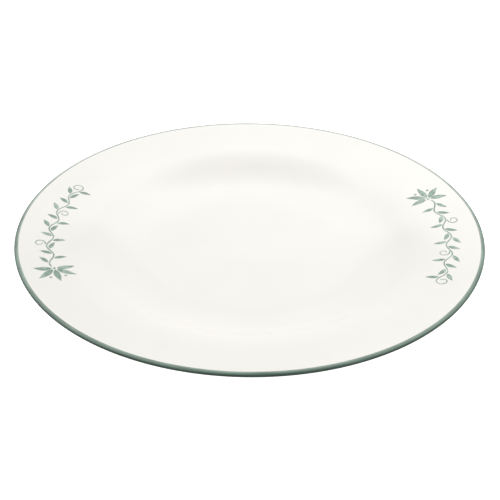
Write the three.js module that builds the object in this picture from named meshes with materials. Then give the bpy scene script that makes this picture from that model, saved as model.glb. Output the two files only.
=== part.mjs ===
// China dinner plate with a sage enamel rim line and two botanical overglaze decals.
// Millimetres, +Z up. The origin is the centre of the foot ring's bearing face.

import * as THREE from "three";

// Overall
const plateDiameter = 270;
const facetCount = 60;

// Well, wall and rim, all on the bare china's upper face
const floorAngle = THREE.MathUtils.degToRad(2.2);
const filletCentre = 55.6;
const filletRadius = 85.6;
const wallAngle = THREE.MathUtils.degToRad(24);
const shoulderRadius = 76;
const rimAngle = THREE.MathUtils.degToRad(7);
const floorSteps = 3;
const filletSteps = 3;
const shoulderSteps = 3;

// Thickness
const floorThickness = 4.2;
const lipRadius = 0.95;
const lipSteps = 4;
const thinningStart = 60;
const thinningEnd = 128;

// Foot ring
const recessHeight = 1.75;
const footRadius = 76;
const bearingWidth = 3;
const footEdgeHeight = 0.5;
const footEdgeRun = 0.5;
const footOuterTop = 80.4;
const footInnerTop = 71.8;
const undersideRadii = [88, 98, 108, 118];

// Glass, enamel and ink layers
const glazeThickness = 0.25;
const bandThickness = 0.08;
const bandWidth = 2.4;
const bandUnderWidth = 2.2;
const inkThickness = 0.12;
const inkGap = 0.08;

// Decals: distances along run clockwise on the decal circle, distances out run towards the lip
const decalRadius = 115;
const decalAngle = THREE.MathUtils.degToRad(200);
const tipWidth = 0.16;
const leafSteps = 5;
const leafFullness = 0.8;
const spray = { start: 1.5, width: 3.5, bend: 1.1 };
const sprayPlaces = [[180, 12], [128, 12], [232, 12], [82, 10], [278, 10]];
const berry = { radius: 0.85, sides: 10 };
const berryPlaces = [[0, 0], [154, 9.6], [206, 9.6]];
const vine = { start: 2, end: 90.25, wave: 19, swing: 1.8, width: 0.85, taper: 0.3, steps: 52 };
const vineCurl = { radius: 3.5, turn: 330, shrink: 0.55 };
const station = { first: 6.2, spacing: 4.75, count: 18, gap: 0.95 };
const vineLeaf = { length: 7.2, width: 2.5, lean: 50, bend: 0.8 };
const tendrilStations = [4, 11];
const tendril = { radius: 3.3, turn: 400, shrink: 0.62, width: 0.65, taper: 0.4, steps: 16 };

// Worked out from the above
const bodyRadius = plateDiameter / 2 - glazeThickness - bandThickness;
const floorHeight = recessHeight + floorThickness;
const floorRadius = filletCentre + filletRadius * Math.sin(floorAngle);
const dishRadius = floorRadius / Math.sin(floorAngle);
const floorEdgeHeight = floorHeight + dishRadius * (1 - Math.cos(floorAngle));
const wallRadius = filletCentre + filletRadius * Math.sin(wallAngle);
const filletBottom = floorEdgeHeight - filletRadius * (1 - Math.cos(floorAngle));
const wallHeight = filletBottom + filletRadius * (1 - Math.cos(wallAngle));
const shoulderCentre = wallRadius + shoulderRadius * Math.sin(wallAngle);
const shoulderEnd = shoulderCentre - shoulderRadius * Math.sin(rimAngle);
const shoulderHeight = wallHeight + shoulderRadius * (Math.cos(rimAngle) - Math.cos(wallAngle));
const lipCentreRadius = bodyRadius - lipRadius;

// Height of the bare china's upper face at a radius: a gently dished floor, then wall, shoulder and rim
function topHeight(radius) {
  if (radius <= floorRadius) return floorHeight + dishRadius - Math.sqrt(dishRadius ** 2 - radius ** 2);
  if (radius <= wallRadius) {
    return filletBottom + filletRadius - Math.sqrt(filletRadius ** 2 - (radius - filletCentre) ** 2);
  }
  if (radius <= shoulderEnd) {
    const drop = Math.sqrt(shoulderRadius ** 2 - (shoulderCentre - radius) ** 2);
    return wallHeight + drop - shoulderRadius * Math.cos(wallAngle);
  }
  return shoulderHeight + (radius - shoulderEnd) * Math.tan(rimAngle);
}

// Slope of that face, as rise over run
function topSlope(radius) {
  if (radius <= floorRadius) return Math.tan(Math.asin(radius / dishRadius));
  if (radius <= wallRadius) return Math.tan(Math.asin((radius - filletCentre) / filletRadius));
  if (radius <= shoulderEnd) return Math.tan(Math.asin((shoulderCentre - radius) / shoulderRadius));
  return Math.tan(rimAngle);
}

// Height of the bare china's underside: the wall thins smoothly from the well to the lip
function underHeight(radius) {
  const thinning = THREE.MathUtils.smoothstep(radius, thinningStart, thinningEnd);
  const thickness = THREE.MathUtils.lerp(floorThickness, 2 * lipRadius, thinning);
  return topHeight(radius) - thickness * Math.hypot(1, topSlope(radius));
}

function at(radius, height) {
  return new THREE.Vector2(radius, height);
}

// Points from one radius to the next along a height formula
function along(heightAt, from, to, steps) {
  return Array.from({ length: steps }, (_, i) => {
    const radius = THREE.MathUtils.lerp(from, to, (i + 1) / steps);
    return at(radius, heightAt(radius));
  });
}

// Underside inside the foot ring, from the axis to the glaze's edge
function recessOutline() {
  const inside = footRadius - bearingWidth / 2;
  return [
    at(0, recessHeight),
    ...along(underHeight, 0, floorRadius, floorSteps),
    at(footInnerTop, underHeight(footInnerTop)),
    at(inside - footEdgeRun, footEdgeHeight),
  ];
}

// The rounded lip, from its underside to its upper side
function lipOutline() {
  const centreHeight = topHeight(lipCentreRadius) - lipRadius / Math.cos(rimAngle);
  return Array.from({ length: lipSteps + 1 }, (_, i) => {
    const turn = rimAngle - Math.PI / 2 + (Math.PI * i) / lipSteps;
    return at(lipCentreRadius + lipRadius * Math.cos(turn), centreHeight + lipRadius * Math.sin(turn));
  });
}

// Everything outside the foot ring, over the lip and across the well to the axis
function coatedOutline() {
  const outside = footRadius + bearingWidth / 2;
  const bandEdge = plateDiameter / 2 - bandWidth;
  const underEdge = plateDiameter / 2 - bandUnderWidth;
  return [
    at(outside + footEdgeRun, footEdgeHeight),
    at(footOuterTop, underHeight(footOuterTop)),
    ...undersideRadii.map((radius) => at(radius, underHeight(radius))),
    at(underEdge, underHeight(underEdge)),
    ...lipOutline(),
    at(bandEdge, topHeight(bandEdge)),
    at(shoulderEnd, shoulderHeight),
    ...along(topHeight, shoulderEnd, wallRadius, shoulderSteps),
    ...along(topHeight, wallRadius, floorRadius, filletSteps),
    ...along(topHeight, floorRadius, 0, floorSteps),
  ];
}

// The outline moved outwards by a layer's thickness, with mitred corners
function coatOver(outline, thickness) {
  return outline.map((point, i) => {
    const before = outline[Math.max(i - 1, 0)];
    const after = outline[Math.min(i + 1, outline.length - 1)];
    const arriving = point.clone().sub(before).normalize();
    const leaving = after.clone().sub(point).normalize();
    const course = arriving.clone().add(leaving).normalize();
    const stretch = thickness / course.dot(i > 0 ? arriving : leaving);
    const radius = point.x === 0 ? 0 : point.x + course.y * stretch;
    return at(radius, point.y - course.x * stretch);
  });
}

// A closed ring or disc turned about +Z
function turned(outline) {
  return new THREE.LatheGeometry(outline, facetCount).rotateX(Math.PI / 2);
}

function chinaBody() {
  const inside = footRadius - bearingWidth / 2;
  const bearingFace = [at(inside, 0), at(inside + bearingWidth, 0)];
  return turned([...recessOutline(), ...bearingFace, ...coatedOutline()]);
}

function glazeCoat() {
  const china = coatedOutline();
  return turned([...china.toReversed(), ...coatOver(china, glazeThickness)]);
}

function footRecessGlaze() {
  const china = recessOutline();
  return turned([...coatOver(china, glazeThickness), ...china.toReversed()]);
}

// Enamel round the lip, over the glaze
function rimBand() {
  const glaze = coatOver(coatedOutline(), glazeThickness);
  const first = undersideRadii.length + 2;
  const under = glaze.slice(first, first + lipSteps + 3);
  const over = coatOver(under, bandThickness);
  return turned([...over, ...under.toReversed(), over[0]]);
}

// A place on the glazed rim from its decal coordinates, lifted clear of the glass
function onRim(distance, out, lift) {
  const radius = decalRadius + out;
  const angle = decalAngle - distance / decalRadius;
  const height = topHeight(radius) + glazeThickness * Math.hypot(1, topSlope(radius)) + inkGap + lift;
  return new THREE.Vector3(radius * Math.cos(angle), radius * Math.sin(angle), height);
}

// Lays a flat thin shape on the rim
function laidOnRim(geometry) {
  const position = geometry.getAttribute("position");
  const vertex = new THREE.Vector3();
  for (let i = 0; i < position.count; i += 1) {
    vertex.fromBufferAttribute(position, i);
    const placed = onRim(vertex.x, vertex.y, vertex.z + inkThickness / 2);
    position.setXYZ(i, placed.x, placed.y, placed.z);
  }
  geometry.computeVertexNormals();
  return geometry;
}

// A brush stroke of ink: a thin strip bent along a course, with its width from a formula
function inkStroke(course, widthAt, steps) {
  const strip = new THREE.BoxGeometry(1, 1, inkThickness, steps, 1, 1);
  const position = strip.getAttribute("position");
  for (let i = 0; i < position.count; i += 1) {
    const share = THREE.MathUtils.clamp(position.getX(i) + 0.5, 0, 1);
    const side = position.getY(i) * widthAt(share);
    const point = course.getPoint(share);
    const tangent = course.getTangent(share);
    position.setX(i, point.x - tangent.y * side);
    position.setY(i, point.y + tangent.x * side);
  }
  return laidOnRim(strip);
}

// A pointed leaf from its base, heading (degrees), length, width and sideways bend
function leaf(base, heading, length, width, bend) {
  const turn = THREE.MathUtils.degToRad(heading);
  const forward = new THREE.Vector2(Math.cos(turn), Math.sin(turn));
  const sideways = new THREE.Vector2(-forward.y, forward.x);
  const tip = base.clone().addScaledVector(forward, length);
  const middle = base.clone().addScaledVector(forward, length / 2).addScaledVector(sideways, bend);
  const course = new THREE.QuadraticBezierCurve(base, middle, tip);
  const widthAt = (share) => tipWidth + width * Math.sin(Math.PI * share ** leafFullness);
  return inkStroke(course, widthAt, leafSteps);
}

function polar(heading, distance) {
  const turn = THREE.MathUtils.degToRad(heading);
  return new THREE.Vector2(distance * Math.cos(turn), distance * Math.sin(turn));
}

// The vine's course: a gentle wave that ends in a curl
function vineCourse() {
  const waveSteps = 38;
  const curlSteps = 12;
  const wave = Array.from({ length: waveSteps + 1 }, (_, i) => {
    const distance = THREE.MathUtils.lerp(vine.start, vine.end, i / waveSteps);
    return new THREE.Vector2(distance, vineOut(distance));
  });
  const centre = new THREE.Vector2(vine.end, vineOut(vine.end) + vineCurl.radius);
  const curl = Array.from({ length: curlSteps }, (_, i) => {
    const share = (i + 1) / curlSteps;
    return polar(vineCurl.turn * share - 90, vineCurl.radius * (1 - vineCurl.shrink * share)).add(centre);
  });
  return new THREE.SplineCurve([...wave, ...curl]);
}

function vineOut(distance) {
  return vine.swing * Math.sin((2 * Math.PI * distance) / vine.wave);
}

function vineHeading(distance) {
  const slope = ((2 * Math.PI * vine.swing) / vine.wave) * Math.cos((2 * Math.PI * distance) / vine.wave);
  return THREE.MathUtils.radToDeg(Math.atan(slope));
}

// Where a station springs from the vine, on alternate sides
function vineStation(index) {
  const distance = station.first + index * station.spacing;
  const side = index % 2 === 0 ? 1 : -1;
  const heading = vineHeading(distance);
  const base = new THREE.Vector2(distance, vineOut(distance)).add(polar(heading + 90 * side, station.gap));
  return { base, heading, side };
}

function vineLeafShape(index) {
  const { base, heading, side } = vineStation(index);
  return leaf(base, heading + vineLeaf.lean * side, vineLeaf.length, vineLeaf.width, -vineLeaf.bend * side);
}

// A fine curl that leaves the vine and winds inwards
function tendrilShape(index) {
  const { base, heading, side } = vineStation(index);
  const centre = base.clone().add(polar(heading + 90 * side, tendril.radius));
  const points = Array.from({ length: tendril.steps + 1 }, (_, i) => {
    const share = i / tendril.steps;
    const turn = heading - 90 * side + tendril.turn * share * side;
    return polar(turn, tendril.radius * (1 - tendril.shrink * share)).add(centre);
  });
  const widthAt = (share) => tendril.width * (1 - tendril.taper * share);
  return inkStroke(new THREE.SplineCurve(points), widthAt, tendril.steps);
}

function berryShape([heading, distance]) {
  const centre = polar(heading, distance);
  const dot = new THREE.CylinderGeometry(berry.radius, berry.radius, inkThickness, berry.sides);
  return laidOnRim(dot.rotateX(Math.PI / 2).translate(centre.x, centre.y, 0));
}

function sprayLeafShape([heading, length]) {
  const bend = Math.sign(180 - heading) * spray.bend;
  return leaf(polar(heading, spray.start), heading, length, spray.width, bend);
}

function named(name, geometry, color, roughness) {
  const material = new THREE.MeshStandardMaterial({ name, color, roughness, metalness: 0 });
  const mesh = new THREE.Mesh(geometry, material);
  mesh.name = name;
  return mesh;
}

// One decal: a spray of leaves, then a vine that trails clockwise round the rim
function decal(side) {
  const sage = 0x8fa99c;
  const islands = new THREE.Group();
  const add = (name, geometry) => islands.add(named(`${side}_${name}`, geometry, sage, 0.35));
  sprayPlaces.forEach((place, i) => add(`spray_leaf_${i + 1}`, sprayLeafShape(place)));
  berryPlaces.forEach((place, i) => add(`berry_${i + 1}`, berryShape(place)));
  add("vine_stem", inkStroke(vineCourse(), (share) => vine.width * (1 - vine.taper * share), vine.steps));
  tendrilStations.forEach((index, i) => add(`tendril_${i + 1}`, tendrilShape(index)));
  const stations = Array.from({ length: station.count }, (_, i) => i);
  const leafy = stations.filter((index) => !tendrilStations.includes(index));
  leafy.forEach((index, i) => add(`vine_leaf_${i + 1}`, vineLeafShape(index)));
  return islands;
}

const plate = new THREE.Group();
plate.add(named("china_body", chinaBody(), 0xf2efe8, 0.7));
plate.add(named("glaze_coat", glazeCoat(), 0xfaf8f2, 0.08));
plate.add(named("foot_recess_glaze", footRecessGlaze(), 0xf7f5ee, 0.1));
plate.add(named("rim_band", rimBand(), 0x7f9a8c, 0.2));

const leftDecal = decal("left");
const rightDecal = decal("right");
rightDecal.rotation.z = Math.PI;
plate.add(leftDecal, rightDecal);

export default plate;
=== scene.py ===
import math
import bpy
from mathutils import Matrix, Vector


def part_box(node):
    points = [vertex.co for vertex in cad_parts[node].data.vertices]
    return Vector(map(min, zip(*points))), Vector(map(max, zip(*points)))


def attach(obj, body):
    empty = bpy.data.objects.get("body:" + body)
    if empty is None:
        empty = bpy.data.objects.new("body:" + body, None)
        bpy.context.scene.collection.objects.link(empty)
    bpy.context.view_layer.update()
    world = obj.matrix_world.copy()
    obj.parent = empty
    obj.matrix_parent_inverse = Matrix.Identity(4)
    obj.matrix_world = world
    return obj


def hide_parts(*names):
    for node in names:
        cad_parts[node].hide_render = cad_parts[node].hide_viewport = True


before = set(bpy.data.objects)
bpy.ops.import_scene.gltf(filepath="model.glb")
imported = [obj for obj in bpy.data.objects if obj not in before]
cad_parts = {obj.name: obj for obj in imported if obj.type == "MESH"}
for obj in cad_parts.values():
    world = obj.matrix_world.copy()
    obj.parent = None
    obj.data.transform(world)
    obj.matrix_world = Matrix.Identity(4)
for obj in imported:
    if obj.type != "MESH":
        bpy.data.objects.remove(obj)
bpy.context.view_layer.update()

print("plate: frame loaded")


# ---- camera, seen from above the front edge

cameraForm = {
    "lens": 90.03,
    "elevation": 32.84,      # degrees above the table
    "distance": 0.7079,
    "aimRight": 0.00022,
    "aimFront": 0.0208,      # aims a little nearer than the plate's centre
    "aimDown": 0.0013,       # and a little below the top of the lip
    "roll": 0.45,
}


def placeCamera(form):
    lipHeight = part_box("rim_band")[1].z
    aim = Vector((form["aimRight"], -form["aimFront"], lipHeight - form["aimDown"]))
    rise = math.radians(form["elevation"])
    back = Vector((0, -math.cos(rise), math.sin(rise)))
    place = aim + back * form["distance"]
    bpy.ops.object.camera_add(location=place, rotation=(math.pi / 2 - rise, 0, 0))
    camera = bpy.context.object
    camera.name = "plateCamera"
    camera.data.lens = form["lens"]
    camera.data.clip_start = 0.01
    camera.rotation_euler.rotate_axis("Z", math.radians(form["roll"]))
    bpy.context.scene.camera = camera


placeCamera(cameraForm)
print("plate: camera placed")


# ---- mesh helpers

creaseAngle = math.radians(38)   # edges sharper than this stay crisp


def clearSelection():
    if bpy.context.mode != "OBJECT":
        bpy.ops.object.mode_set(mode="OBJECT")
    bpy.ops.object.select_all(action="DESELECT")


def startPiece(name):
    # an emptied plane at the origin, left in edit mode
    clearSelection()
    bpy.ops.mesh.primitive_plane_add(size=0.001, location=(0, 0, 0))
    piece = bpy.context.object
    piece.name = name
    bpy.ops.object.mode_set(mode="EDIT")
    bpy.ops.mesh.select_all(action="SELECT")
    bpy.ops.mesh.delete(type="VERT")
    return piece


def drawLine(points):
    # one vertex, extruded from point to point
    bpy.ops.mesh.select_all(action="DESELECT")
    bpy.ops.mesh.primitive_plane_add(size=0.0001, location=points[0])
    bpy.ops.mesh.merge(type="CENTER")
    for here, there in zip(points, points[1:]):
        step = tuple(b - a for a, b in zip(here, there))
        bpy.ops.mesh.extrude_region_move(TRANSFORM_OT_translate={"value": step})


def spinOutline(name, outline, steps):
    # a closed body of revolution from its half outline
    piece = startPiece(name)
    drawLine([(radius, 0, height) for radius, height in outline])
    bpy.ops.mesh.select_all(action="SELECT")
    bpy.ops.mesh.remove_doubles(threshold=1e-7)
    bpy.ops.mesh.spin(steps=steps, angle=math.tau, center=(0, 0, 0), axis=(0, 0, 1))
    bpy.ops.mesh.select_all(action="SELECT")
    bpy.ops.mesh.remove_doubles(threshold=1e-6)
    bpy.ops.mesh.normals_make_consistent(inside=False)
    bpy.ops.object.mode_set(mode="OBJECT")
    bpy.ops.object.shade_smooth_by_angle(angle=creaseAngle)
    return piece


def spread(start, end, steps):
    # evenly spaced values after start, up to and with end
    return [start + (end - start) * (i + 1) / steps for i in range(steps)]


def softCorner(start, corner, end, steps):
    # a rounded corner between two points, without its first point
    points = []
    for t in spread(0, 1, steps):
        a, b, c = (1 - t) ** 2, 2 * t * (1 - t), t ** 2
        points.append(tuple(a * s + b * m + c * e for s, m, e in zip(start, corner, end)))
    return points


def coatOver(outline, thickness, ends=1):
    # the outline moved outwards by a layer's thickness, thinner at its two ends
    coated = []
    last = len(outline) - 1
    for i, (radius, height) in enumerate(outline):
        here = Vector((radius, height))
        arriving = (here - Vector(outline[max(i - 1, 0)])).normalized()
        leaving = (Vector(outline[min(i + 1, last)]) - here).normalized()
        course = (arriving + leaving).normalized()
        stretch = thickness / course.dot(arriving if i else leaving)
        if i in (0, last) and radius > 0:
            stretch *= ends
        outward = 0 if radius == 0 else radius + course.y * stretch
        coated.append((outward, height - course.x * stretch))
    return coated


# ---- plate form: the same driving sizes as the CAD, in metres

plateForm = {
    "floorAngle": 2.2,       # slope at the edge of the gently dished floor, in degrees
    "filletCentre": 0.0556,
    "filletRadius": 0.0856,
    "wallAngle": 24,
    "shoulderRadius": 0.076,
    "rimAngle": 7,
    "floorThickness": 0.0042,
    "lipRadius": 0.00095,
    "thinning": (0.060, 0.128),
    "recessHeight": 0.00175,
    "footRadius": 0.076,
    "bearingWidth": 0.003,
    "footEdge": 0.0005,
    "footOuterTop": 0.0804,
    "footInnerTop": 0.0718,
    "footFillet": 0.0016,
    "bearingRound": 0.7,     # how much of the foot's edge is rubbed round
    "glazeThickness": 0.00025,
    "bandThickness": 0.00006,
    "bandWidth": 0.0024,
    "bandUnderWidth": 0.0022,
    "glazeEnds": 0.4,        # share of their thickness that the layers keep at their edges
    "bandEnds": 0.3,
    "spinSteps": 240,
}

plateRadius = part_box("rim_band")[1].x
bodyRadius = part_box("china_body")[1].x
floorTurn = math.radians(plateForm["floorAngle"])
wallTurn = math.radians(plateForm["wallAngle"])
rimTurn = math.radians(plateForm["rimAngle"])
floorHeight = plateForm["recessHeight"] + plateForm["floorThickness"]
floorRadius = plateForm["filletCentre"] + plateForm["filletRadius"] * math.sin(floorTurn)
dishRadius = floorRadius / math.sin(floorTurn)
floorEdgeHeight = floorHeight + dishRadius * (1 - math.cos(floorTurn))
filletBottom = floorEdgeHeight - plateForm["filletRadius"] * (1 - math.cos(floorTurn))
wallRadius = plateForm["filletCentre"] + plateForm["filletRadius"] * math.sin(wallTurn)
wallHeight = filletBottom + plateForm["filletRadius"] * (1 - math.cos(wallTurn))
shoulderCentre = wallRadius + plateForm["shoulderRadius"] * math.sin(wallTurn)
shoulderEnd = shoulderCentre - plateForm["shoulderRadius"] * math.sin(rimTurn)
shoulderHeight = wallHeight + plateForm["shoulderRadius"] * (math.cos(rimTurn) - math.cos(wallTurn))
lipCentre = bodyRadius - plateForm["lipRadius"]


def topHeight(radius):
    # upper face of the bare china
    fillet, shoulder = plateForm["filletRadius"], plateForm["shoulderRadius"]
    if radius <= floorRadius:
        return floorHeight + dishRadius - math.sqrt(dishRadius ** 2 - radius ** 2)
    if radius <= wallRadius:
        return filletBottom + fillet - math.sqrt(fillet ** 2 - (radius - plateForm["filletCentre"]) ** 2)
    if radius <= shoulderEnd:
        drop = math.sqrt(shoulder ** 2 - (shoulderCentre - radius) ** 2)
        return wallHeight + drop - shoulder * math.cos(wallTurn)
    return shoulderHeight + (radius - shoulderEnd) * math.tan(rimTurn)


def topSlope(radius):
    nudge = 0.00001
    return (topHeight(radius + nudge) - topHeight(radius - nudge)) / (2 * nudge)


def underHeight(radius):
    # underside of the bare china, which thins from the well to the lip
    start, end = plateForm["thinning"]
    share = min(max((radius - start) / (end - start), 0), 1)
    thinning = share * share * (3 - 2 * share)
    lipThickness = 2 * plateForm["lipRadius"]
    thickness = plateForm["floorThickness"] * (1 - thinning) + lipThickness * thinning
    return topHeight(radius) - thickness * math.hypot(1, topSlope(radius))


def underPoint(radius):
    return (radius, underHeight(radius))


def topPoint(radius):
    return (radius, topHeight(radius))


def recessOutline():
    # inside the foot ring, from the axis to the edge of its glaze
    inside = plateForm["footRadius"] - plateForm["bearingWidth"] / 2 - plateForm["footEdge"]
    top = plateForm["footInnerTop"]
    edge = (inside, plateForm["footEdge"])
    beforeCorner = underPoint(top - plateForm["footFillet"])
    corner = underPoint(top)
    share = plateForm["footFillet"] / (corner[1] - edge[1])
    afterCorner = tuple(c + (e - c) * share for c, e in zip(corner, edge))
    points = [(0, plateForm["recessHeight"])]
    points += [underPoint(radius) for radius in spread(0, floorRadius, 14)]
    points += [underPoint(radius) for radius in spread(floorRadius, beforeCorner[0], 6)]
    points += softCorner(beforeCorner, corner, afterCorner, 6)
    return points + [edge]


def bearingOutline():
    # the ring's bare bearing face, with its edges rubbed round
    half, edge = plateForm["bearingWidth"] / 2, plateForm["footEdge"]
    inner, outer = plateForm["footRadius"] - half, plateForm["footRadius"] + half
    rubbed = edge * plateForm["bearingRound"]
    points = softCorner((inner - edge, edge), (inner - rubbed, 0), (inner, 0), 4)
    points += [(outer, 0)]
    return points + softCorner((outer, 0), (outer + rubbed, 0), (outer + edge, edge), 4)[:-1]


def lipOutline():
    lip = plateForm["lipRadius"]
    centreHeight = topHeight(lipCentre) - lip / math.cos(rimTurn)
    turns = [rimTurn - math.pi / 2] + spread(rimTurn - math.pi / 2, rimTurn + math.pi / 2, 14)
    return [(lipCentre + lip * math.cos(turn), centreHeight + lip * math.sin(turn)) for turn in turns]


def coatedOutline():
    # from the edge of the glaze outside the foot, under the rim, round the lip and in to the axis
    outside = plateForm["footRadius"] + plateForm["bearingWidth"] / 2 + plateForm["footEdge"]
    bandTop = plateRadius - plateForm["bandWidth"]
    bandUnder = plateRadius - plateForm["bandUnderWidth"]
    edge = (outside, plateForm["footEdge"])
    corner = underPoint(plateForm["footOuterTop"])
    share = plateForm["footFillet"] / (corner[1] - edge[1])
    beforeCorner = tuple(c + (e - c) * share for c, e in zip(corner, edge))
    afterCorner = underPoint(plateForm["footOuterTop"] + plateForm["footFillet"])
    points = [edge, beforeCorner]
    points += softCorner(beforeCorner, corner, afterCorner, 6)
    points += [underPoint(radius) for radius in spread(afterCorner[0], bandUnder, 18)]
    points += lipOutline()
    points += [topPoint(radius) for radius in spread(lipCentre - 0.0002, bandTop, 2)]
    points += [topPoint(radius) for radius in spread(bandTop, shoulderEnd, 6)]
    points += [topPoint(radius) for radius in spread(shoulderEnd, wallRadius, 12)]
    points += [topPoint(radius) for radius in spread(wallRadius, floorRadius, 14)]
    return points + [topPoint(radius) for radius in spread(floorRadius, 0, 14)]


def makeChina():
    outline = recessOutline() + bearingOutline() + coatedOutline()
    return spinOutline("chinaBody", outline, plateForm["spinSteps"])


def makeGlaze():
    china = coatedOutline()
    outer = coatOver(china, plateForm["glazeThickness"], plateForm["glazeEnds"])
    return spinOutline("glazeCoat", outer + china[::-1], plateForm["spinSteps"])


def makeRecessGlaze():
    china = recessOutline()
    outer = coatOver(china, plateForm["glazeThickness"], plateForm["glazeEnds"])
    return spinOutline("footRecessGlaze", outer + china[::-1], plateForm["spinSteps"])


def makeBand():
    # the enamel follows the glaze from under the rim, round the lip and onto the rim
    glaze = coatOver(coatedOutline(), plateForm["glazeThickness"])
    bandTop = plateRadius - plateForm["bandWidth"] - 0.0001
    under = [point for point in glaze if point[0] > bandTop]
    over = coatOver(under, plateForm["bandThickness"], plateForm["bandEnds"])
    return spinOutline("rimBand", over + under[::-1] + over[:1], plateForm["spinSteps"])


chinaBody = makeChina()
glazeCoat = makeGlaze()
recessGlaze = makeRecessGlaze()
rimBand = makeBand()
print("plate: china, glaze and enamel line turned")


# ---- decals: a spray of leaves, then a vine that trails clockwise round the rim

decalForm = {
    "radius": 0.115,         # circle that the vine follows
    "angle": 200,            # where the spray stands, in degrees from +X
    "layHeight": 0.005,      # flat ink starts this far above the lip
    "gap": 0.00002,
    "thickness": 0.00006,
    "edge": 0.00002,
    "edgeAngle": 60,         # degrees; only the ink's outline is rounded
}
leafForm = {"tip": 0.00016, "fullness": 0.8, "steps": 22}
sprayForm = {"start": 0.0015, "width": 0.0035, "bend": 0.0011}
sprayPlaces = [(180, 0.012), (128, 0.012), (232, 0.012), (82, 0.010), (278, 0.010)]
berryForm = {"radius": 0.00085, "sides": 28, "ring": 0.35}
berryPlaces = [(0, 0), (154, 0.0096), (206, 0.0096)]
vineForm = {
    "start": 0.002,
    "end": 0.09025,
    "wave": 0.019,
    "swing": 0.0018,
    "width": 0.00085,
    "taper": 0.3,
    "steps": 114,
}
curlForm = {"radius": 0.0035, "turn": 330, "shrink": 0.55, "steps": 40}
stationForm = {"first": 0.0062, "spacing": 0.00475, "count": 18, "gap": 0.00095}
vineLeafForm = {"length": 0.0072, "width": 0.0025, "lean": 50, "bend": 0.0008}
tendrilForm = {
    "stations": (4, 11),
    "radius": 0.0033,
    "turn": 400,
    "shrink": 0.62,
    "width": 0.00065,
    "taper": 0.4,
    "steps": 44,
}


def polar(heading, distance):
    turn = math.radians(heading)
    return Vector((distance * math.cos(turn), distance * math.sin(turn)))


def planPoint(place):
    # decal coordinates (clockwise along the circle, outwards) to a point above the rim
    turn = math.radians(decalForm["angle"]) - place[0] / decalForm["radius"]
    radius = decalForm["radius"] + place[1]
    return (radius * math.cos(turn), radius * math.sin(turn), plateTop + decalForm["layHeight"])


def inkSheet(name, course, widths, cuts):
    # two edges drawn along the course and bridged into a flat sheet
    left, right = [], []
    last = len(course) - 1
    for i, point in enumerate(course):
        tangent = (course[min(i + 1, last)] - course[max(i - 1, 0)]).normalized()
        across = Vector((-tangent.y, tangent.x)) * widths[i] / 2
        left.append(planPoint(point + across))
        right.append(planPoint(point - across))
    sheet = startPiece(name)
    drawLine(left)
    drawLine(right)
    bpy.ops.mesh.select_all(action="SELECT")
    bpy.ops.mesh.bridge_edge_loops(number_cuts=cuts, interpolation="LINEAR", smoothness=0)
    faceUp(sheet)
    return sheet


def faceUp(sheet):
    bpy.ops.object.mode_set(mode="OBJECT")
    if sheet.data.polygons[0].normal.z < 0:
        bpy.ops.object.mode_set(mode="EDIT")
        bpy.ops.mesh.select_all(action="SELECT")
        bpy.ops.mesh.flip_normals()
        bpy.ops.object.mode_set(mode="OBJECT")


def layInk(sheet):
    # drapes the flat sheet on the glaze and gives it a thin rounded body
    drape = sheet.modifiers.new("drape", "SHRINKWRAP")
    drape.target = glazeCoat
    drape.wrap_method = "PROJECT"
    drape.use_project_z = True
    drape.use_positive_direction = False
    drape.use_negative_direction = True
    drape.offset = decalForm["gap"]
    bpy.ops.object.modifier_apply(modifier="drape")
    body = sheet.modifiers.new("body", "SOLIDIFY")
    body.thickness = decalForm["thickness"]
    body.offset = 1
    bpy.ops.object.modifier_apply(modifier="body")
    rounding = sheet.modifiers.new("rounding", "BEVEL")
    rounding.width = decalForm["edge"]
    rounding.segments = 2
    rounding.angle_limit = math.radians(decalForm["edgeAngle"])
    bpy.ops.object.modifier_apply(modifier="rounding")
    bpy.ops.object.shade_smooth_by_angle(angle=creaseAngle)


def oppositeCopy(piece, name):
    # the same ink, half a turn round the rim
    clearSelection()
    piece.select_set(True)
    bpy.context.view_layer.objects.active = piece
    bpy.ops.object.duplicate()
    copy = bpy.context.object
    copy.name = name
    copy.rotation_euler.z = math.pi
    bpy.ops.object.transform_apply(location=True, rotation=True, scale=True)
    return copy


def leafCourse(base, heading, length, bend):
    forward = polar(heading, 1)
    sideways = Vector((-forward.y, forward.x))
    tip = base + forward * length
    middle = base + forward * length / 2 + sideways * bend
    steps = leafForm["steps"]
    shares = [i / steps for i in range(steps + 1)]
    return [base * (1 - t) ** 2 + middle * 2 * t * (1 - t) + tip * t ** 2 for t in shares]


def leafWidths(width):
    steps = leafForm["steps"]
    shares = [i / steps for i in range(steps + 1)]
    return [leafForm["tip"] + width * math.sin(math.pi * t ** leafForm["fullness"]) for t in shares]


def makeLeaf(name, base, heading, length, width, bend):
    return inkSheet(name, leafCourse(base, heading, length, bend), leafWidths(width), 3)


def makeSprayLeaf(name, heading, length):
    side = (heading < 180) - (heading > 180)
    base = polar(heading, sprayForm["start"])
    return makeLeaf(name, base, heading, length, sprayForm["width"], side * sprayForm["bend"])


def vineOut(distance):
    return vineForm["swing"] * math.sin(math.tau * distance / vineForm["wave"])


def vineHeading(distance):
    slope = math.tau * vineForm["swing"] / vineForm["wave"]
    return math.degrees(math.atan(slope * math.cos(math.tau * distance / vineForm["wave"])))


def makeVineStem(name):
    # a gentle wave that ends in a curl
    distances = [vineForm["start"]] + spread(vineForm["start"], vineForm["end"], vineForm["steps"])
    course = [Vector((distance, vineOut(distance))) for distance in distances]
    centre = Vector((vineForm["end"], vineOut(vineForm["end"]) + curlForm["radius"]))
    for share in spread(0, 1, curlForm["steps"]):
        reach = curlForm["radius"] * (1 - curlForm["shrink"] * share)
        course.append(centre + polar(curlForm["turn"] * share - 90, reach))
    last = len(course) - 1
    widths = [vineForm["width"] * (1 - vineForm["taper"] * i / last) for i in range(last + 1)]
    return inkSheet(name, course, widths, 1)


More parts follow.
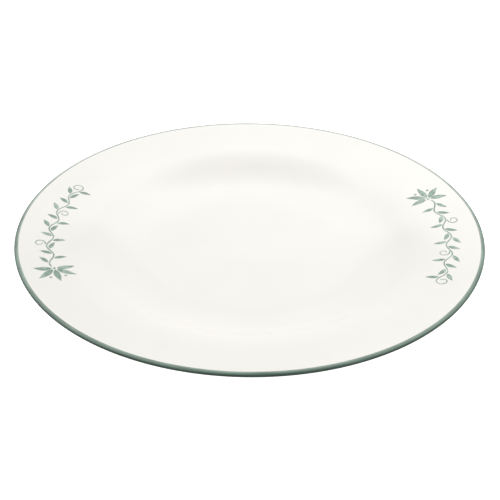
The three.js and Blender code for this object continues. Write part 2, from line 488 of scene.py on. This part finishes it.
def stationPlace(index):
    distance = stationForm["first"] + index * stationForm["spacing"]
    side = -1 if index % 2 else 1
    heading = vineHeading(distance)
    base = Vector((distance, vineOut(distance))) + polar(heading + 90 * side, stationForm["gap"])
    return base, heading, side


def makeVineLeaf(name, index):
    base, heading, side = stationPlace(index)
    form = vineLeafForm
    lean, bend = form["lean"] * side, -form["bend"] * side
    return makeLeaf(name, base, heading + lean, form["length"], form["width"], bend)


def makeTendril(name, index):
    base, heading, side = stationPlace(index)
    centre = base + polar(heading + 90 * side, tendrilForm["radius"])
    steps = tendrilForm["steps"]
    course, widths = [], []
    for share in [i / steps for i in range(steps + 1)]:
        reach = tendrilForm["radius"] * (1 - tendrilForm["shrink"] * share)
        course.append(centre + polar(heading - 90 * side + tendrilForm["turn"] * share * side, reach))
        widths.append(tendrilForm["width"] * (1 - tendrilForm["taper"] * share))
    return inkSheet(name, course, widths, 1)


def makeBerry(name, heading, distance):
    # a round dot, filled in rings by insetting it
    clearSelection()
    place = planPoint(polar(heading, distance))
    bpy.ops.mesh.primitive_circle_add(
        vertices=berryForm["sides"], radius=berryForm["radius"], fill_type="NGON", location=place
    )
    dot = bpy.context.object
    dot.name = name
    bpy.ops.object.transform_apply(location=True, rotation=False, scale=False)
    bpy.ops.object.mode_set(mode="EDIT")
    bpy.ops.mesh.select_all(action="SELECT")
    bpy.ops.mesh.inset(thickness=berryForm["radius"] * berryForm["ring"])
    bpy.ops.mesh.inset(thickness=berryForm["radius"] * berryForm["ring"])
    bpy.ops.mesh.poke()
    faceUp(dot)
    return dot


def makeDecal():
    # every island of ink, as [(piece, the end of its node's name)]
    islands = []
    for i, (heading, length) in enumerate(sprayPlaces, 1):
        islands.append((makeSprayLeaf(f"leftSprayLeaf{i}", heading, length), f"spray_leaf_{i}"))
        layInk(islands[-1][0])
    for i, (heading, distance) in enumerate(berryPlaces, 1):
        islands.append((makeBerry(f"leftBerry{i}", heading, distance), f"berry_{i}"))
        layInk(islands[-1][0])
    islands.append((makeVineStem("leftVineStem"), "vine_stem"))
    layInk(islands[-1][0])
    for i, index in enumerate(tendrilForm["stations"], 1):
        islands.append((makeTendril(f"leftTendril{i}", index), f"tendril_{i}"))
        layInk(islands[-1][0])
    leafy = [index for index in range(stationForm["count"]) if index not in tendrilForm["stations"]]
    for i, index in enumerate(leafy, 1):
        islands.append((makeVineLeaf(f"leftVineLeaf{i}", index), f"vine_leaf_{i}"))
        layInk(islands[-1][0])
    return islands


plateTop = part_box("rim_band")[1].z
leftInk = makeDecal()
rightInk = []
for piece, ending in leftInk:
    rightInk.append((oppositeCopy(piece, piece.name.replace("left", "right")), ending))
print("plate: decals drawn and laid,", len(leftInk) + len(rightInk), "islands")


# ---- materials

def newMaterial(name):
    material = bpy.data.materials.new(name)
    material.use_nodes = True
    tree = material.node_tree
    return material, tree.nodes, tree.links, tree.nodes["Principled BSDF"]


def addNoise(nodes, links, vector, scale, detail, roughness=0.5):
    noise = nodes.new("ShaderNodeTexNoise")
    noise.inputs["Scale"].default_value = scale
    noise.inputs["Detail"].default_value = detail
    noise.inputs["Roughness"].default_value = roughness
    links.new(vector, noise.inputs["Vector"])
    return noise.outputs["Fac"]


def addRange(nodes, links, value, low, high, toLow, toHigh):
    mapped = nodes.new("ShaderNodeMapRange")
    mapped.interpolation_type = "SMOOTHSTEP"
    mapped.inputs["From Min"].default_value = low
    mapped.inputs["From Max"].default_value = high
    mapped.inputs["To Min"].default_value = toLow
    mapped.inputs["To Max"].default_value = toHigh
    links.new(value, mapped.inputs["Value"])
    return mapped.outputs["Result"]


def addMath(nodes, links, operation, *values):
    node = nodes.new("ShaderNodeMath")
    node.operation = operation
    for socket, value in zip(node.inputs, values):
        if isinstance(value, (int, float)):
            socket.default_value = value
        else:
            links.new(value, socket)
    return node.outputs[0]


def addMix(nodes, links, factor, colorA, colorB, blend="MIX"):
    mix = nodes.new("ShaderNodeMix")
    mix.data_type = "RGBA"
    mix.blend_type = blend
    if isinstance(factor, (int, float)):
        mix.inputs[0].default_value = factor
    else:
        links.new(factor, mix.inputs[0])
    for index, color in ((6, colorA), (7, colorB)):
        if isinstance(color, tuple):
            mix.inputs[index].default_value = (*color, 1)
        else:
            links.new(color, mix.inputs[index])
    return mix.outputs[2]


def addRamp(nodes, links, value, stops):
    # a colour ramp from [(position, colour)]
    ramp = nodes.new("ShaderNodeValToRGB")
    while len(ramp.color_ramp.elements) < len(stops):
        ramp.color_ramp.elements.new(0.5)
    for element, (position, colour) in zip(ramp.color_ramp.elements, stops):
        element.position = position
        element.color = (*colour, 1)
    links.new(value, ramp.inputs["Fac"])
    return ramp.outputs["Color"]


def addBump(nodes, links, height, distance, strength):
    bump = nodes.new("ShaderNodeBump")
    bump.inputs["Distance"].default_value = distance
    bump.inputs["Strength"].default_value = strength
    links.new(height, bump.inputs["Height"])
    return bump.outputs["Normal"]


glazeLook = {
    "white": (0.820, 0.786, 0.757),
    "pooled": (0.795, 0.765, 0.737),
    "speck": (0.60, 0.55, 0.48),
    "roughness": (0.015, 0.04),
    "cloudScale": 26,
    "pooling": 0.6,          # most of the pooled tone that a cloud holds
    "speckScale": 120,
    "speckSize": (0.012, 0.03),
    "speckRarity": (0.95, 0.97),
    "speckStrength": 0.5,
    "wearScale": 70,
    "rippleScale": 38,
    "ripple": 0.03,
    "glass": 1.56,
}


def makeGlazeMaterial():
    material, nodes, links, shader = newMaterial("whiteGlaze")
    look = glazeLook
    place = nodes.new("ShaderNodeTexCoord").outputs["Object"]
    cloud = addNoise(nodes, links, place, look["cloudScale"], 3)
    pooled = addRange(nodes, links, cloud, 0.35, 0.7, 0, look["pooling"])
    tone = addMix(nodes, links, pooled, look["white"], look["pooled"])
    # a dark dot in the middle of a rare cell
    cells = nodes.new("ShaderNodeTexVoronoi")
    cells.inputs["Scale"].default_value = look["speckScale"]
    links.new(place, cells.inputs["Vector"])
    dot = addRange(nodes, links, cells.outputs["Distance"], *look["speckSize"], 1, 0)
    parts = nodes.new("ShaderNodeSeparateColor")
    links.new(cells.outputs["Color"], parts.inputs["Color"])
    rare = addRange(nodes, links, parts.outputs["Red"], *look["speckRarity"], 0, look["speckStrength"])
    speck = addMath(nodes, links, "MULTIPLY", dot, rare)
    links.new(addMix(nodes, links, speck, tone, look["speck"]), shader.inputs["Base Color"])
    wear = addNoise(nodes, links, place, look["wearScale"], 4)
    links.new(addRange(nodes, links, wear, 0.3, 0.75, *look["roughness"]), shader.inputs["Roughness"])
    ripple = addNoise(nodes, links, place, look["rippleScale"], 2)
    links.new(addBump(nodes, links, ripple, 0.001, look["ripple"]), shader.inputs["Normal"])
    shader.inputs["IOR"].default_value = look["glass"]
    return material


chinaLook = {
    "dry": (0.78, 0.75, 0.69),
    "scuffed": (0.60, 0.57, 0.52),
    "roughness": (0.62, 0.85),
    "scuffScale": 240,
    "grainScale": 4200,
}


def makeChinaMaterial():
    material, nodes, links, shader = newMaterial("bareChina")
    place = nodes.new("ShaderNodeTexCoord").outputs["Object"]
    scuff = addNoise(nodes, links, place, chinaLook["scuffScale"], 4, 0.6)
    scuffed = addRange(nodes, links, scuff, 0.5, 0.72, 0, 1)
    colour = addMix(nodes, links, scuffed, chinaLook["dry"], chinaLook["scuffed"])
    links.new(colour, shader.inputs["Base Color"])
    smooth, rough = chinaLook["roughness"]
    links.new(addRange(nodes, links, scuff, 0.3, 0.7, rough, smooth), shader.inputs["Roughness"])
    grain = addNoise(nodes, links, place, chinaLook["grainScale"], 3, 0.6)
    links.new(addBump(nodes, links, grain, 0.00004, 0.5), shader.inputs["Normal"])
    return material


enamelLook = {
    "turns": (140, -60),     # from the brushed inner edge, over the lip, to its underside, in degrees: painted light on the top, painted shade underneath
    # painted light and shade: pale where the band faces up to the light, near black on the lip's
    # underside, which faces down into shade
    "stops": [
        (0.00, (0.390, 0.450, 0.410)),
        (0.10, (0.290, 0.350, 0.312)),
        (0.22, (0.225, 0.290, 0.252)),
        (0.36, (0.165, 0.225, 0.192)),
        (0.50, (0.100, 0.160, 0.128)),
        (0.64, (0.040, 0.078, 0.056)),
        (1.00, (0.028, 0.058, 0.041)),
    ],
    "thin": (0.72, 0.71, 0.69),  # painted sheen: a pale tone mixed into the band towards the back, where the lip catches light at a grazing angle
    "thinning": (-0.02, 0.10),
    "paintedSheenShare": 0.42,
    "lap": (0.80, 1.12),     # brush laps darken and lighten the colour
    "streaks": (45, 45, 1500),
    "wobble": 0.03,
    "roughness": (0.07, 0.18),
}


def makeEnamelMaterial():
    material, nodes, links, shader = newMaterial("sageEnamel")
    place = nodes.new("ShaderNodeTexCoord").outputs["Object"]
    axes = nodes.new("ShaderNodeSeparateXYZ")
    links.new(place, axes.inputs["Vector"])
    flat = nodes.new("ShaderNodeVectorMath")
    flat.operation = "MULTIPLY"
    flat.inputs[1].default_value = (1, 1, 0)
    links.new(place, flat.inputs[0])
    reach = nodes.new("ShaderNodeVectorMath")
    reach.operation = "LENGTH"
    links.new(flat.outputs["Vector"], reach.inputs[0])
    # the turn round the lip's own centre: over 90 degrees on the rim, 0 at the lip's outermost line
    out = addMath(nodes, links, "SUBTRACT", reach.outputs["Value"], lipCentre)
    lipMiddle = plateTop - plateForm["lipRadius"] - plateForm["glazeThickness"]
    rise = addMath(nodes, links, "SUBTRACT", axes.outputs["Z"], lipMiddle)
    turn = addMath(nodes, links, "ARCTAN2", rise, out)
    start, end = (math.radians(angle) for angle in enamelLook["turns"])
    share = addMath(nodes, links, "DIVIDE", addMath(nodes, links, "SUBTRACT", turn, start), end - start)
    # brush laps: long streaks round the lip
    streak = nodes.new("ShaderNodeMapping")
    streak.inputs["Scale"].default_value = enamelLook["streaks"]
    links.new(place, streak.inputs["Vector"])
    laps = addNoise(nodes, links, streak.outputs["Vector"], 1, 4, 0.6)
    wobble = addRange(nodes, links, laps, 0.25, 0.75, -enamelLook["wobble"], enamelLook["wobble"])
    # painted light and shade: the colour darkens with the turn, from the lit top of the rim to the shaded
    # underside of the lip
    paintedLightAndShade = addRamp(nodes, links, addMath(nodes, links, "ADD", share, wobble), enamelLook["stops"])
    thin, thick = enamelLook["lap"]
    density = nodes.new("ShaderNodeVectorMath")
    density.operation = "SCALE"
    links.new(paintedLightAndShade, density.inputs[0])
    links.new(addRange(nodes, links, laps, 0.25, 0.75, thick, thin), density.inputs["Scale"])
    # painted sheen: the band turns paler towards the back (+Y), standing in for light it catches at a
    # grazing angle there
    paintedBackSheen = addRange(nodes, links, axes.outputs["Y"], *enamelLook["thinning"], 0, enamelLook["paintedSheenShare"])
    colour = addMix(nodes, links, paintedBackSheen, density.outputs["Vector"], enamelLook["thin"])
    links.new(colour, shader.inputs["Base Color"])
    links.new(addRange(nodes, links, laps, 0.3, 0.7, *enamelLook["roughness"]), shader.inputs["Roughness"])
    links.new(addBump(nodes, links, laps, 0.0001, 0.15), shader.inputs["Normal"])
    return material


inkLook = {
    "full": (0.225, 0.305, 0.262),
    "faded": (0.385, 0.470, 0.425),
    "roughness": (0.18, 0.34),
    "patchScale": 210,
    "grainScale": 3600,
    "fleck": 0.22,
}


def makeInkMaterial():
    material, nodes, links, shader = newMaterial("sageInk")
    place = nodes.new("ShaderNodeTexCoord").outputs["Object"]
    patch = addNoise(nodes, links, place, inkLook["patchScale"], 2)
    grain = addNoise(nodes, links, place, inkLook["grainScale"], 2)
    patchy = addRange(nodes, links, patch, 0.42, 0.72, 0, 1)
    tone = addMix(nodes, links, patchy, inkLook["full"], inkLook["faded"])
    fleck = addRange(nodes, links, grain, 0.35, 0.75, 0, inkLook["fleck"])
    links.new(addMix(nodes, links, fleck, tone, inkLook["faded"]), shader.inputs["Base Color"])
    links.new(addRange(nodes, links, patch, 0.3, 0.7, *inkLook["roughness"]), shader.inputs["Roughness"])
    links.new(addBump(nodes, links, grain, 0.00002, 0.3), shader.inputs["Normal"])
    return material


def dress(piece, material, nodeName):
    piece.data.materials.clear()
    piece.data.materials.append(material)
    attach(piece, "root")
    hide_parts(nodeName)


whiteGlaze = makeGlazeMaterial()
sageInk = makeInkMaterial()
dress(chinaBody, makeChinaMaterial(), "china_body")
dress(glazeCoat, whiteGlaze, "glaze_coat")
dress(recessGlaze, whiteGlaze, "foot_recess_glaze")
dress(rimBand, makeEnamelMaterial(), "rim_band")
for side, islands in (("left", leftInk), ("right", rightInk)):
    for piece, ending in islands:
        dress(piece, sageInk, f"{side}_{ending}")
print("plate: materials on")


# ---- stage and light

stageForm = {
    "size": 12,
    "white": 1.05,
    "sweep": (0.8, 0.8, 0.8),
    "sweepDrop": 0.0004,     # below the foot
    "table": (0.60, 0.60, 0.59),
    "tableDrop": 0.0002,
    "tableRoughness": 0.6,
}


def clearFromBelow(nodes, links, shader):
    # the sheet can be looked through from its lower side
    clear = nodes.new("ShaderNodeBsdfTransparent")
    pick = nodes.new("ShaderNodeMixShader")
    links.new(nodes.new("ShaderNodeNewGeometry").outputs["Backfacing"], pick.inputs["Fac"])
    links.new(shader.outputs["BSDF"], pick.inputs[1])
    links.new(clear.outputs["BSDF"], pick.inputs[2])
    links.new(pick.outputs["Shader"], nodes["Material Output"].inputs["Surface"])


def makeFloor():
    # the white sweep that the camera sees, and a table below the plate that only catches its light
    clearSelection()
    bpy.ops.mesh.primitive_plane_add(size=stageForm["size"], location=(0, 0, -stageForm["sweepDrop"]))
    floor = bpy.context.object
    floor.name = "whiteSweep"
    material, nodes, links, shader = newMaterial("sweepWhite")
    shader.inputs["Base Color"].default_value = (*stageForm["sweep"], 1)
    shader.inputs["Emission Color"].default_value = (1, 1, 1, 1)
    shader.inputs["Emission Strength"].default_value = stageForm["white"]
    clearFromBelow(nodes, links, shader)
    floor.data.materials.append(material)
    floor.visible_diffuse = False
    floor.visible_glossy = False
    floor.visible_shadow = False
    bpy.ops.mesh.primitive_plane_add(size=stageForm["size"], location=(0, 0, -stageForm["tableDrop"]))
    table = bpy.context.object
    table.name = "paleTable"
    material, nodes, links, shader = newMaterial("tablePale")
    shader.inputs["Base Color"].default_value = (*stageForm["table"], 1)
    shader.inputs["Roughness"].default_value = stageForm["tableRoughness"]
    clearFromBelow(nodes, links, shader)
    table.data.materials.append(material)
    table.visible_camera = False


tentForm = {
    "strength": 0.967,
    "peak": 2.5,             # the brightest level that a ramp may hold
    "tint": (0.98, 1.0, 0.985),
    # brightness at each elevation, in degrees, towards each side of the tent
    # behind: a pale horizon, a gap at 30, a soft box round 54, then a dark ceiling
    "back": [
        (0, 0.8), (20, 0.4), (30, 0.05), (36, 0.7), (46, 1.0),
        (54, 1.3), (64, 0.4), (74, 0.1), (90, 0.1),
    ],
    "front": [(0, 0.2), (25, 0.5), (50, 0.45), (70, 0.28), (90, 0.1)],
    "left": [(0, 0.5), (20, 0.9), (34, 2.1), (52, 2.5), (70, 1.7), (90, 0.1)],
    "right": [(0, 0.45), (24, 0.6), (38, 1.3), (52, 1.5), (70, 0.9), (90, 0.1)],
}
lampForm = {"place": (0.77, 0.36, 0.8), "width": 0.7, "height": 0.7, "brightness": 4.9}


def tentRamp(nodes, links, elevation, levels):
    stops = [(degrees / 90, (level / tentForm["peak"],) * 3) for degrees, level in levels]
    return addRamp(nodes, links, elevation, stops)


def lightTent():
    world = bpy.data.worlds.new("softTent")
    bpy.context.scene.world = world
    world.use_nodes = True
    nodes, links = world.node_tree.nodes, world.node_tree.links
    background = nodes["Background"]
    background.inputs["Strength"].default_value = tentForm["strength"] * tentForm["peak"]
    axes = nodes.new("ShaderNodeSeparateXYZ")
    links.new(nodes.new("ShaderNodeTexCoord").outputs["Generated"], axes.inputs["Vector"])
    rise = addMath(nodes, links, "ARCSINE", axes.outputs["Z"])
    elevation = addMath(nodes, links, "DIVIDE", rise, math.pi / 2)
    sides = ("back", "front", "left", "right")
    ramps = {side: tentRamp(nodes, links, elevation, tentForm[side]) for side in sides}
    behind = addMath(nodes, links, "GREATER_THAN", axes.outputs["Y"], 0)
    toRight = addMath(nodes, links, "GREATER_THAN", axes.outputs["X"], 0)
    lengthwise = addMix(nodes, links, behind, ramps["front"], ramps["back"])
    crosswise = addMix(nodes, links, toRight, ramps["left"], ramps["right"])
    deep = addMath(nodes, links, "POWER", axes.outputs["Y"], 2)
    wide = addMath(nodes, links, "POWER", axes.outputs["X"], 2)
    share = addMath(nodes, links, "DIVIDE", deep, addMath(nodes, links, "ADD", deep, wide))
    light = addMix(nodes, links, share, crosswise, lengthwise)
    tinted = addMix(nodes, links, 1, light, tentForm["tint"], "MULTIPLY")
    # the camera itself sees plain white round the plate
    seen = nodes.new("ShaderNodeLightPath").outputs["Is Camera Ray"]
    plain = (stageForm["white"] / (tentForm["strength"] * tentForm["peak"]),) * 3
    links.new(addMix(nodes, links, seen, tinted, plain), background.inputs["Color"])


def addLamp(name, form):
    # a soft box that lights the plate from one side, but isn't mirrored in the glaze
    clearSelection()
    bpy.ops.object.light_add(type="AREA", location=form["place"])
    lamp = bpy.context.object
    lamp.name = name
    lamp.data.shape = "RECTANGLE"
    lamp.data.size, lamp.data.size_y = form["width"], form["height"]
    radiance = form["brightness"] * tentForm["strength"]
    lamp.data.energy = math.pi * form["width"] * form["height"] * radiance
    lamp.data.color = tentForm["tint"]
    lamp.rotation_euler = (-Vector(form["place"])).to_track_quat("-Z", "Y").to_euler()
    lamp.visible_glossy = False


makeFloor()
lightTent()
addLamp("sideLamp", lampForm)
bpy.context.scene.view_settings.view_transform = "Standard"
print("plate: stage and light set")
